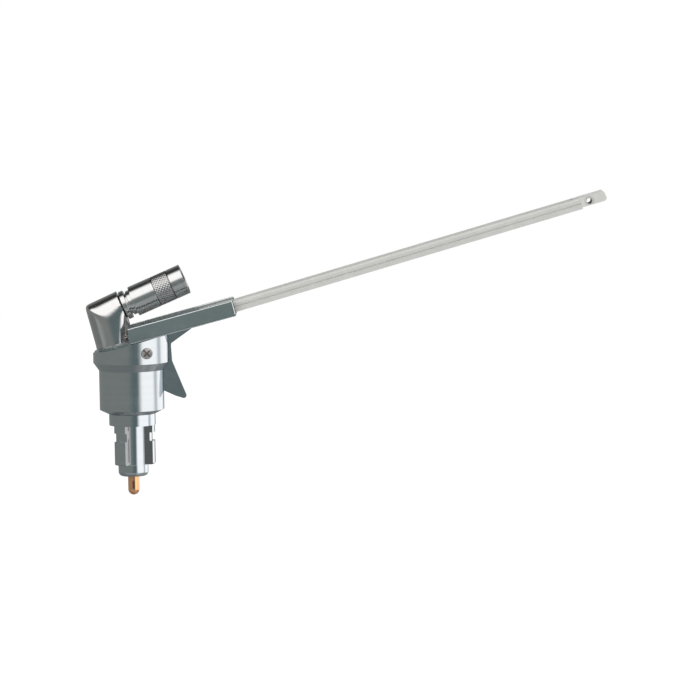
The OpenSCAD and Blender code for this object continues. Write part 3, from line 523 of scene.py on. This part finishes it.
def finish_of(slot):
    """The procedural finish of a material slot, made on first use."""
    if slot in FINISHES:
        return FINISHES[slot]
    kind, place, metallic, rough_low, rough_high, bump_mm, darker, values = RECIPES[slot]
    base = getattr(bpy.context.scene.inflator_colours, slot)
    finish = bpy.data.materials.new(slot)
    finish.use_nodes = True
    tree = finish.node_tree
    shader = tree.nodes["Principled BSDF"]
    where = tree.nodes.new("ShaderNodeTexCoord").outputs["Object"]
    if place is not None:
        mapping = tree.nodes.new("ShaderNodeMapping")
        back = place.inverted()
        mapping.inputs["Location"].default_value = back.to_translation()
        mapping.inputs["Rotation"].default_value = back.to_euler("XYZ")
        tree.links.new(where, mapping.inputs["Vector"])
        where = mapping.outputs[0]
    grain = tree.nodes.new("ShaderNodeGroup")
    grain.node_tree = group_named(kind)
    tree.links.new(where, grain.inputs["Vector"])
    for socket, value in values.items():
        grain.inputs[socket].default_value = value
    wear = tree.nodes.new("ShaderNodeGroup")
    wear.node_tree = group_named("wear")
    tree.links.new(where, wear.inputs["Vector"])

    shade = maths(tree, "ADD", grain.outputs["Shade"], wear.outputs["Smudge"])
    tint = tree.nodes.new("ShaderNodeMix")
    tint.data_type = "RGBA"
    tint.inputs["A"].default_value = (*[c * (1 - darker) for c in base], 1)
    tint.inputs["B"].default_value = (*base, 1)
    tree.links.new(maths(tree, "MULTIPLY", shade, 0.5), tint.inputs["Factor"])
    shown = tint.outputs["Result"]
    # each mark mixes its painted shade or painted highlight into the colour; the painted highlight also makes
    # the surface fully metallic
    amounts = {}
    for mark, tone in MARKS.items():
        marked = tree.nodes.new("ShaderNodeAttribute")
        marked.attribute_name = mark
        amounts[mark] = marked.outputs["Fac"]
        mixed = tree.nodes.new("ShaderNodeMix")
        mixed.data_type = "RGBA"
        mixed.inputs["B"].default_value = tone
        tree.links.new(amounts[mark], mixed.inputs["Factor"])
        tree.links.new(shown, mixed.inputs["A"])
        shown = mixed.outputs["Result"]
    tree.links.new(between(tree, amounts["painted_highlight"], 0.5, 1.0, metallic, 1.0), shader.inputs["Metallic"])
    tree.links.new(shown, shader.inputs["Base Color"])

    scratched = maths(tree, "MULTIPLY", wear.outputs["Scratch"], 0.35)
    rough = maths(tree, "ADD", maths(tree, "MULTIPLY", wear.outputs["Smudge"], 0.8), scratched)
    tree.links.new(between(tree, rough, 0.0, 1.0, rough_low, rough_high), shader.inputs["Roughness"])

    bump = tree.nodes.new("ShaderNodeBump")
    bump.inputs["Strength"].default_value = 1.0
    bump.inputs["Distance"].default_value = bump_mm * MM
    tree.links.new(grain.outputs["Height"], bump.inputs["Height"])
    tree.links.new(bump.outputs["Normal"], shader.inputs["Normal"])
    FINISHES[slot] = finish
    return finish


# ---------------------------------------------------------------- the pieces


class INFLATOR_OT_finishes(bpy.types.Operator):
    """Give every frame node the finish of its material slot"""

    bl_idname = "inflator.finishes"
    bl_label = "Frame finishes"

    def execute(self, context):
        for part in frame["record"]["subparts"]:
            node = frame["nodes"][part["node"]]
            finish = finish_of(part["material_slot"])
            if not node.material_slots:
                node.data.materials.append(finish)
            for held in node.material_slots:
                held.material = finish
        return {"FINISHED"}


class INFLATOR_OT_body(bpy.types.Operator):
    """Round the edges of the turned valve body and the bayonet nose"""

    bl_idname = "inflator.body"
    bl_label = "Valve body and nose"

    def execute(self, context):
        sizes = context.scene.inflator_sizes
        body = copy_of("valve_body", "body_turned")
        round_edges(body, sizes.edge)
        finish_piece(body, "body", "cast_alloy", "valve_body")
        nose = copy_of("nose_spigot", "nose_bayonet")
        round_edges(nose, sizes.edge)

        # painted shade on the lugs' upright side flanks
        def painted_flank_shade(face):
            out = Vector((face.center.x, face.center.y, 0))
            upright = abs(face.normal.z) < 0.3 and out.length > NOSE_RADIUS * MM
            return 0.55 if upright and abs(face.normal.dot(out.normalized())) < 0.6 else 0

        mark_faces(nose, "painted_shade", painted_flank_shade)
        finish_piece(nose, "body", "nose_alloy", "nose_spigot")
        return {"FINISHED"}


class INFLATOR_OT_probe(bpy.types.Operator):
    """Round the edges of the probe pin"""

    bl_idname = "inflator.probe"
    bl_label = "Probe pin"

    def execute(self, context):
        pin = copy_of("probe_pin", "probe_tip")
        round_edges(pin, context.scene.inflator_sizes.fine_edge)
        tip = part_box("probe_pin")[0].z
        bpy.ops.object.mode_set(mode="EDIT")
        for level in PAINTED_STRIPE_LEVELS:
            bpy.ops.mesh.select_all(action="SELECT")
            bpy.ops.mesh.bisect(plane_co=(0, 0, tip + level * MM), plane_no=(0, 0, 1))
        bpy.ops.object.mode_set(mode="OBJECT")

        # painted reflection: a dark stripe on the pin's front faces, between the two cuts
        def painted_reflection_stripe(face):
            level = (face.center.z - tip) / MM
            across = abs(face.center.x) < PAINTED_STRIPE_WIDTH / 2 * MM and face.center.y < 0
            return 0.8 if across and PAINTED_STRIPE_LEVELS[0] < level < PAINTED_STRIPE_LEVELS[1] else 0

        mark_faces(pin, "painted_shade", painted_reflection_stripe)
        finish_piece(pin, "plunger", "copper_alloy", "probe_pin")
        return {"FINISHED"}


class INFLATOR_OT_elbow(bpy.types.Operator):
    """Model the elbow's soft cast form from the frame's plain one"""

    bl_idname = "inflator.elbow"
    bl_label = "Cast elbow"

    def execute(self, context):
        sizes = context.scene.inflator_sizes
        elbow = copy_of("elbow_head", "elbow_cast")
        seat = leaning(SEAT, SEAT_TILT)
        elbow.data.transform(seat.inverted())
        remesh = elbow.modifiers.new("grid", "REMESH")
        remesh.mode = "VOXEL"
        remesh.voxel_size = sizes.cast_grid
        bpy.ops.object.modifier_apply(modifier=remesh.name)
        soft = elbow.vertex_groups.new(name="soft")
        to_nozzle = NOZZLE.inverted() @ seat
        for vertex in elbow.data.vertices:
            above_foot = vertex.co.z / MM - ELBOW_FOOT
            before_outlet = -(to_nozzle @ vertex.co).x / MM - ELBOW_OUTLET
            weight = min(1, max(0, min(above_foot, before_outlet) / ELBOW_FADE))
            soft.add([vertex.index], weight, "REPLACE")
        blend = elbow.modifiers.new("soft", "SMOOTH")
        blend.factor = 0.5
        blend.iterations = sizes.cast_smoothing
        blend.vertex_group = soft.name
        bpy.ops.object.modifier_apply(modifier=blend.name)
        elbow.data.transform(seat)
        finish_piece(elbow, "body", "chromed_zinc", "elbow_head", angle=40)
        return {"FINISHED"}


class INFLATOR_OT_sleeve(bpy.types.Operator):
    """Turn the locking sleeve and cut its diamond knurl"""

    bl_idname = "inflator.sleeve"
    bl_label = "Knurled sleeve"

    def knurl(self, sleeve, sizes):
        """Sinks two crossing sets of grooves into the band, and paints shade into them and into the band's
        borders.
        """
        marks = sleeve.data.attributes.new("painted_shade", "FLOAT", "POINT").data
        middle, width = (KNURL_BACK + KNURL_FRONT) / 2, KNURL_FRONT - KNURL_BACK
        reach = width / 2 + BORDER_WIDTH + 0.1
        for vertex, mark in zip(sleeve.data.vertices, marks):
            x, y, height = vertex.co / MM
            radius = math.hypot(x, y)
            # painted shade in the band's border grooves
            if radius < SLEEVE_RADIUS - 0.01:
                in_border = radius > SLEEVE_RADIUS - BORDER_DEPTH - 0.05 and abs(height - middle) < reach
                mark.value = 0.8 if in_border else 0
                continue
            if not KNURL_BACK <= height <= KNURL_FRONT:
                continue
            across = math.atan2(y, x) / (2 * math.pi) * sizes.knurl_count
            along = (height - KNURL_BACK) / width * sizes.knurl_rows
            groove = max(abs(2 * ((across + turn * along) % 1) - 1) for turn in (1, -1))
            depth = max(0, groove - GROOVE_START) / (1 - GROOVE_START) * sizes.knurl_depth
            sunk = 1 - depth / (SLEEVE_RADIUS * MM)
            vertex.co.x *= sunk
            vertex.co.y *= sunk
            # painted shade, deeper towards the bottoms of the knurl's grooves
            mark.value = 0.6 * max(0, groove - GROOVE_SHADE_START) / (1 - GROOVE_SHADE_START)

    def execute(self, context):
        sizes = context.scene.inflator_sizes
        rows = 8 * sizes.knurl_rows
        band = [
            (SLEEVE_RADIUS, KNURL_BACK + (KNURL_FRONT - KNURL_BACK) * (0.001 + 0.998 * row / rows))
            for row in range(rows + 1)
        ]
        low = SLEEVE_RADIUS - BORDER_DEPTH
        rear = eased(
            [
                (SLEEVE_THROAT, SLEEVE_BACK),
                (SLEEVE_RADIUS, SLEEVE_BACK),
                (SLEEVE_RADIUS, KNURL_BACK - BORDER_WIDTH),
                (low, KNURL_BACK - BORDER_WIDTH),
                (low, KNURL_BACK),
                (SLEEVE_RADIUS, KNURL_BACK),
            ]
        )
        front = eased(
            [
                (SLEEVE_RADIUS, KNURL_FRONT),
                (low, KNURL_FRONT),
                (low, KNURL_FRONT + BORDER_WIDTH),
                (SLEEVE_RADIUS, KNURL_FRONT + BORDER_WIDTH),
                (SLEEVE_RADIUS, SLEEVE_FRONT),
                (SLEEVE_HOLLOW, SLEEVE_FRONT),
                (SLEEVE_HOLLOW, SLEEVE_BACK + THROAT_LENGTH),
                (SLEEVE_THROAT, SLEEVE_BACK + THROAT_LENGTH),
            ]
        )
        sleeve = turned("sleeve_knurled", rear + band + front, 8 * sizes.knurl_count)
        self.knurl(sleeve, sizes)
        sleeve.data.transform(NOZZLE_AXIS)
        finish_piece(sleeve, "sleeve", "plated_steel", "locking_sleeve")
        return {"FINISHED"}


class INFLATOR_OT_coupling(bpy.types.Operator):
    """Turn the coupling's ring and neck, and round the edges of its socket"""

    bl_idname = "inflator.coupling"
    bl_label = "Coupling neck and socket"

    def execute(self, context):
        # radii, and heights above the elbow's outlet face, in mm
        bore, thread, ring, groove, neck, spigot = 3.2, 6.5, 11.9, 8.8, 10.2, 7.6
        start, ring_back, ring_front, neck_back, neck_front, end = -9, 1.2, 4.9, 6.5, 20.1, 26.1
        outline = [
            (bore, start),
            (thread, start),
            (thread, ring_back),
            (ring, ring_back),
            (ring, ring_front),
            (groove, ring_front),
            (groove, neck_back),
            (neck, neck_back),
            (neck, neck_front),
            (spigot, neck_front),
            (spigot, end),
            (bore, end),
        ]
        ringed = turned("neck_ringed", eased(outline, 0.3), 96, NOZZLE_AXIS)
        finish_piece(ringed, "body", "plated_steel", "coupling_neck")
        socket = copy_of("socket_body", "socket_turned")
        round_edges(socket, context.scene.inflator_sizes.fine_edge)
        finish_piece(socket, "body", "plated_steel", "socket_body")
        return {"FINISHED"}


class INFLATOR_OT_channel(bpy.types.Operator):
    """Round the folds and edges of the pressed channel"""

    bl_idname = "inflator.channel"
    bl_label = "Channel arm"

    def execute(self, context):
        sizes = context.scene.inflator_sizes
        channel = copy_of("channel_arm", "channel_pressed")
        seat = leaning(SEAT, SEAT_TILT)
        to_seat = seat.inverted()
        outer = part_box("channel_arm")[1].y
        inner = outer - WALL_THICKNESS * MM
        top = max((to_seat @ vertex.co).z for vertex in channel.data.vertices)
        only(channel)
        bpy.ops.object.mode_set(mode="EDIT")
        bpy.ops.mesh.select_all(action="SELECT")
        along = Vector((math.cos(SEAT_TILT), 0, math.sin(SEAT_TILT)))
        bpy.ops.mesh.bisect(plane_co=seat @ Vector((FOLD_START * MM, 0, 0)), plane_no=along)
        bpy.ops.object.mode_set(mode="OBJECT")
        wall_foot, back_zone = 0.75 * WALL_THICKNESS * MM, 5 * MM
        for vertex in channel.data.vertices:
            here = to_seat @ vertex.co
            if here.z > wall_foot and here.x < back_zone and abs(here.y) > inner - NEAR:
                vertex.co -= along * WALL_LONGER * MM

        def fold(point):
            here = to_seat @ point
            return abs(abs(here.y) - outer) < NEAR and abs(here.z) < NEAR and here.x > (FOLD_START - 0.2) * MM

        def lip(point):
            here = to_seat @ point
            at_edge = min(abs(abs(here.y) - outer), abs(abs(here.y) - inner)) < NEAR
            return abs(here.z - top) < NEAR and at_edge

        pick_edges(channel, fold)
        bpy.ops.mesh.bevel(offset=sizes.bend, segments=6)
        bpy.ops.object.mode_set(mode="OBJECT")
        pick_edges(channel, lip)
        bpy.ops.mesh.bevel(offset=sizes.lip, segments=4)
        bpy.ops.object.mode_set(mode="OBJECT")
        end = max((to_seat @ vertex.co).x for vertex in channel.data.vertices)

        def corner(point):
            here = to_seat @ point
            return abs(here.x - end) < NEAR and abs(abs(here.y) - outer) < NEAR

        pick_edges(channel, corner)
        bpy.ops.mesh.bevel(offset=sizes.lip * 0.8, segments=4)
        bpy.ops.object.mode_set(mode="OBJECT")
        round_edges(channel, sizes.fine_edge, sharper_than=50)

        # painted highlight along the lips, the end's corners and the folds, and fainter painted light inside
        # the channel
        def painted_edge_light(face):
            here = to_seat @ face.center
            at_side = outer - abs(here.y)
            past_start = here.x > (FOLD_START + 0.8) * MM
            on_lip = here.z > top - 0.7 * sizes.lip
            on_fold = at_side < 0.75 * sizes.bend and NEAR < here.z < 0.5 * sizes.bend and past_start
            at_end = at_side < 0.6 * sizes.lip and here.x > end - 0.6 * sizes.lip
            inside = here.z > (WALL_THICKNESS - 0.1) * MM and abs(here.y) < inner + NEAR
            return 1 if on_lip or at_end else 0.75 if on_fold else 0.35 if inside else 0

        mark_faces(channel, "painted_highlight", painted_edge_light)
        finish_piece(channel, "body", "arm_steel", "channel_arm")
        return {"FINISHED"}


class INFLATOR_OT_trigger(bpy.types.Operator):
    """Round the edges of the trigger plate"""

    bl_idname = "inflator.trigger"
    bl_label = "Trigger"

    def execute(self, context):
        trigger = copy_of("trigger", "trigger_plate")
        round_edges(trigger, context.scene.inflator_sizes.fine_edge)
        finish_piece(trigger, "trigger", "trigger_steel", "trigger")
        return {"FINISHED"}


class INFLATOR_OT_handle(bpy.types.Operator):
    """Round the edges of the grooved bar and the end block"""

    bl_idname = "inflator.handle"
    bl_label = "Handle bar and end block"

    def execute(self, context):
        sizes = context.scene.inflator_sizes
        bar = copy_of("handle_bar", "bar_grooved")
        round_edges(bar, sizes.fine_edge)
        finish_piece(bar, "body", "bar_alloy", "handle_bar")
        block = copy_of("end_block", "end_moulded")
        round_edges(block, sizes.edge)
        finish_piece(block, "body", "end_plastic", "end_block")
        return {"FINISHED"}


class INFLATOR_OT_springs(bpy.types.Operator):
    """Copy each coil spring as a finished piece of its own"""

    bl_idname = "inflator.springs"
    bl_label = "Coil springs"

    def execute(self, context):
        for joint in frame["record"]["behaviour"]["joints"]:
            for row in joint.get("deforming_nodes", []):
                spring = copy_of(row["node"], row["node"] + "_coil")
                finish_piece(spring, "body", "spring_steel", row["node"], angle=70)
                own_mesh(spring)
        return {"FINISHED"}


class INFLATOR_OT_screw(bpy.types.Operator):
    """Round the edges of the pivot screw and paint shade into its cross slot"""

    bl_idname = "inflator.screw"
    bl_label = "Pivot screw"

    def execute(self, context):
        screw = copy_of("pivot_screw", "screw_cross")
        round_edges(screw, context.scene.inflator_sizes.fine_edge)
        low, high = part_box("pivot_screw")
        middle = (low + high) / 2

        # painted shade in the cross slot
        def painted_slot_shade(face):
            across = math.hypot(face.center.x - middle.x, face.center.z - middle.z)
            sunk = (face.center.y - low.y) / MM
            return 0.65 if across < SLOT_REACH * MM and SLOT_LEVELS[0] < sunk < SLOT_LEVELS[1] else 0

        mark_faces(screw, "painted_shade", painted_slot_shade)
        finish_piece(screw, "body", "screw_steel", "pivot_screw")
        return {"FINISHED"}


# ---------------------------------------------------------------- the studio

# the plain panels of the studio that polished metal reflects, in linear light
ROOM = (0.26, 0.28, 0.27)
LOW = (0.20, 0.22, 0.22)
CARD = (0.14, 0.19, 0.20)
STRIP = (0.45, 0.47, 0.47)
GAP = (0.70, 0.75, 0.80)
SOFTBOX = (1.50, 1.50, 1.50)
BLACK = (0.05, 0.05, 0.05)

# where the panels stand, in degrees from the camera's side: round to the object's right, and up and over it
ROUND_ABOUT = (
    (-180, ROOM),
    (-10, ROOM),
    (10, CARD),
    (25, CARD),
    (40, SOFTBOX),
    (85, SOFTBOX),
    (95, GAP),
    (100, GAP),
    (110, SOFTBOX),
    (140, SOFTBOX),
    (160, ROOM),
    (180, ROOM),
)
UP_AND_OVER = (
    (-180, ROOM),
    (-150, LOW),
    (-60, LOW),
    (-40, STRIP),
    (-25, STRIP),
    (-10, CARD),
    (5, CARD),
    (25, SOFTBOX),
    (70, SOFTBOX),
    (90, BLACK),
    (115, BLACK),
    (150, ROOM),
    (180, ROOM),
)


def angle_ramp(tree, sine, cosine, stops, strength):
    """A colour for each angle whose sine and cosine are given, from a list of stops in degrees."""
    angle = maths(tree, "ARCTAN2", sine, cosine)
    share = maths(tree, "MULTIPLY_ADD", angle, 0.5 / math.pi, 0.5)
    ramp = tree.nodes.new("ShaderNodeValToRGB")
    elements = ramp.color_ramp.elements
    while len(elements) < len(stops):
        elements.new(0.5)
    for element, (degrees, _) in zip(elements, stops):
        element.position = degrees / 360 + 0.5
    for element, (_, tone) in zip(elements, stops):
        element.color = (*[c * (strength if c > 0.6 else 1) for c in tone], 1)
    tree.links.new(share, ramp.inputs[0])
    return ramp.outputs[0]


def studio_world(context):
    """Even white for the camera, even light on matt surfaces, and panels for the metal to reflect."""
    settings = context.scene.inflator_studio
    world = bpy.data.worlds.new("studio")
    context.scene.world = world
    world.use_nodes = True
    world.cycles.sampling_method = "NONE"
    tree = world.node_tree
    tree.nodes.clear()
    split = tree.nodes.new("ShaderNodeSeparateXYZ")
    tree.links.new(tree.nodes.new("ShaderNodeTexCoord").outputs["Generated"], split.inputs[0])
    right, away, up = split.outputs
    toward = maths(tree, "MULTIPLY", away, -1.0)
    level = angle_ramp(tree, right, toward, ROUND_ABOUT, settings.softbox)
    over = angle_ramp(tree, up, toward, UP_AND_OVER, settings.softbox)
    # near the horizon a ray sees the panels round about, and where it is steep those overhead and below,
    # of which a falling ray sees a little less, unless it falls straight down
    steep = between(tree, maths(tree, "ABSOLUTE", up), 0.14, 0.34)
    little_less = 0.84
    falling = between(tree, up, -0.3, -0.1, little_less, 1.0)
    straight_down = between(tree, up, -1.0, -0.88, 1.0, little_less)
    mixing = maths(tree, "MULTIPLY", steep, maths(tree, "MAXIMUM", falling, straight_down))
    panels = tree.nodes.new("ShaderNodeMix")
    panels.data_type = "RGBA"
    tree.links.new(mixing, panels.inputs["Factor"])
    tree.links.new(level, panels.inputs["A"])
    tree.links.new(over, panels.inputs["B"])
    path = tree.nodes.new("ShaderNodeLightPath")
    matt = tree.nodes.new("ShaderNodeMix")
    matt.data_type = "RGBA"
    matt.inputs["A"].default_value = (settings.fill, settings.fill, settings.fill, 1)
    tree.links.new(path.outputs["Is Glossy Ray"], matt.inputs["Factor"])
    tree.links.new(panels.outputs["Result"], matt.inputs["B"])
    seen = tree.nodes.new("ShaderNodeMix")
    seen.data_type = "RGBA"
    seen.inputs["B"].default_value = (1, 1, 1, 1)
    clear = maths(tree, "MAXIMUM", path.outputs["Is Camera Ray"], path.outputs["Is Transmission Ray"])
    tree.links.new(clear, seen.inputs["Factor"])
    tree.links.new(matt.outputs["Result"], seen.inputs["A"])
    light = tree.nodes.new("ShaderNodeBackground")
    tree.links.new(seen.outputs["Result"], light.inputs["Color"])
    tree.links.new(light.outputs[0], tree.nodes.new("ShaderNodeOutputWorld").inputs["Surface"])


def studio_floor(context):
    """A plain pale floor that reads as white and keeps the object's soft shadow."""
    bpy.ops.object.select_all(action="DESELECT")
    place = (FLOOR_MIDDLE, 0, -context.scene.inflator_studio.floor_drop)
    bpy.ops.mesh.primitive_grid_add(x_subdivisions=8, y_subdivisions=8, size=FLOOR_SIZE, location=place)
    floor = named("floor")
    settle(floor)
    pale = bpy.data.materials.new("pale_floor")
    pale.use_nodes = True
    tree = pale.node_tree
    tree.nodes.clear()
    matt = tree.nodes.new("ShaderNodeBsdfDiffuse")
    matt.inputs["Color"].default_value = (FLOOR_TONE, FLOOR_TONE, FLOOR_TONE, 1)
    path = tree.nodes.new("ShaderNodeLightPath")
    glow = tree.nodes.new("ShaderNodeEmission")
    seen = maths(tree, "MAXIMUM", path.outputs["Is Camera Ray"], path.outputs["Is Transmission Ray"])
    tree.links.new(maths(tree, "MULTIPLY", seen, FLOOR_GLOW), glow.inputs["Strength"])
    both = tree.nodes.new("ShaderNodeAddShader")
    tree.links.new(matt.outputs[0], both.inputs[0])
    tree.links.new(glow.outputs[0], both.inputs[1])
    tree.links.new(both.outputs[0], tree.nodes.new("ShaderNodeOutputMaterial").inputs["Surface"])
    floor.data.materials.append(pale)
    floor.visible_glossy = False


def studio_camera(context):
    """The camera, almost side on and a little above."""
    settings = context.scene.inflator_studio
    back = Vector((0, -math.cos(settings.elevation), math.sin(settings.elevation)))
    bpy.ops.object.camera_add()
    camera = bpy.context.active_object
    camera.name = "camera"
    turn = (-back).to_track_quat("-Z", "Y").to_matrix().to_4x4()
    place = Matrix.Translation(TARGET + back * settings.distance)
    camera.matrix_world = place @ turn @ Matrix.Rotation(settings.roll, 4, "Z")
    camera.data.lens = settings.lens
    camera.data.sensor_width = 36
    camera.data.clip_end = 50
    context.scene.camera = camera


class INFLATOR_OT_studio(bpy.types.Operator):
    """Set the floor, the light and the camera"""

    bl_idname = "inflator.studio"
    bl_label = "Studio"

    def execute(self, context):
        context.scene.view_settings.view_transform = "Standard"
        studio_world(context)
        studio_floor(context)
        studio_camera(context)
        return {"FINISHED"}


# ---------------------------------------------------------------- the panel and the run

OPERATORS = (
    INFLATOR_OT_studio,
    INFLATOR_OT_finishes,
    INFLATOR_OT_body,
    INFLATOR_OT_probe,
    INFLATOR_OT_elbow,
    INFLATOR_OT_coupling,
    INFLATOR_OT_sleeve,
    INFLATOR_OT_channel,
    INFLATOR_OT_trigger,
    INFLATOR_OT_handle,
    INFLATOR_OT_springs,
    INFLATOR_OT_screw,
)


class INFLATOR_PT_panel(bpy.types.Panel):
    """Sizes, colours and steps of the inflating head"""

    bl_idname = "INFLATOR_PT_panel"
    bl_label = "Inflating head"
    bl_space_type = "VIEW_3D"
    bl_region_type = "UI"
    bl_category = "Inflating head"

    def draw(self, context):
        for title, settings in (
            ("Sizes", context.scene.inflator_sizes),
            ("Colours", context.scene.inflator_colours),
            ("Studio", context.scene.inflator_studio),
        ):
            box = self.layout.box()
            box.label(text=title)
            for name in settings.__annotations__:
                box.prop(settings, name)
        for operator in OPERATORS:
            self.layout.operator(operator.bl_idname)


CLASSES = (ShapeSizes, FinishColours, StudioSettings, *OPERATORS, INFLATOR_PT_panel)


def register():
    """Registers the settings, the operators and the panel."""
    for each in CLASSES:
        bpy.utils.register_class(each)
    bpy.types.Scene.inflator_sizes = bpy.props.PointerProperty(type=ShapeSizes)
    bpy.types.Scene.inflator_colours = bpy.props.PointerProperty(type=FinishColours)
    bpy.types.Scene.inflator_studio = bpy.props.PointerProperty(type=StudioSettings)


def unregister():
    """Takes the settings, the operators and the panel away again."""
    del bpy.types.Scene.inflator_studio
    del bpy.types.Scene.inflator_colours
    del bpy.types.Scene.inflator_sizes
    for each in reversed(CLASSES):
        bpy.utils.unregister_class(each)


def main():
    """Builds the dressed object by running every step."""
    register()
    for operator in OPERATORS:
        group, name = operator.bl_idname.split(".")
        getattr(getattr(bpy.ops, group), name)()


if __name__ == "__main__":
    main()
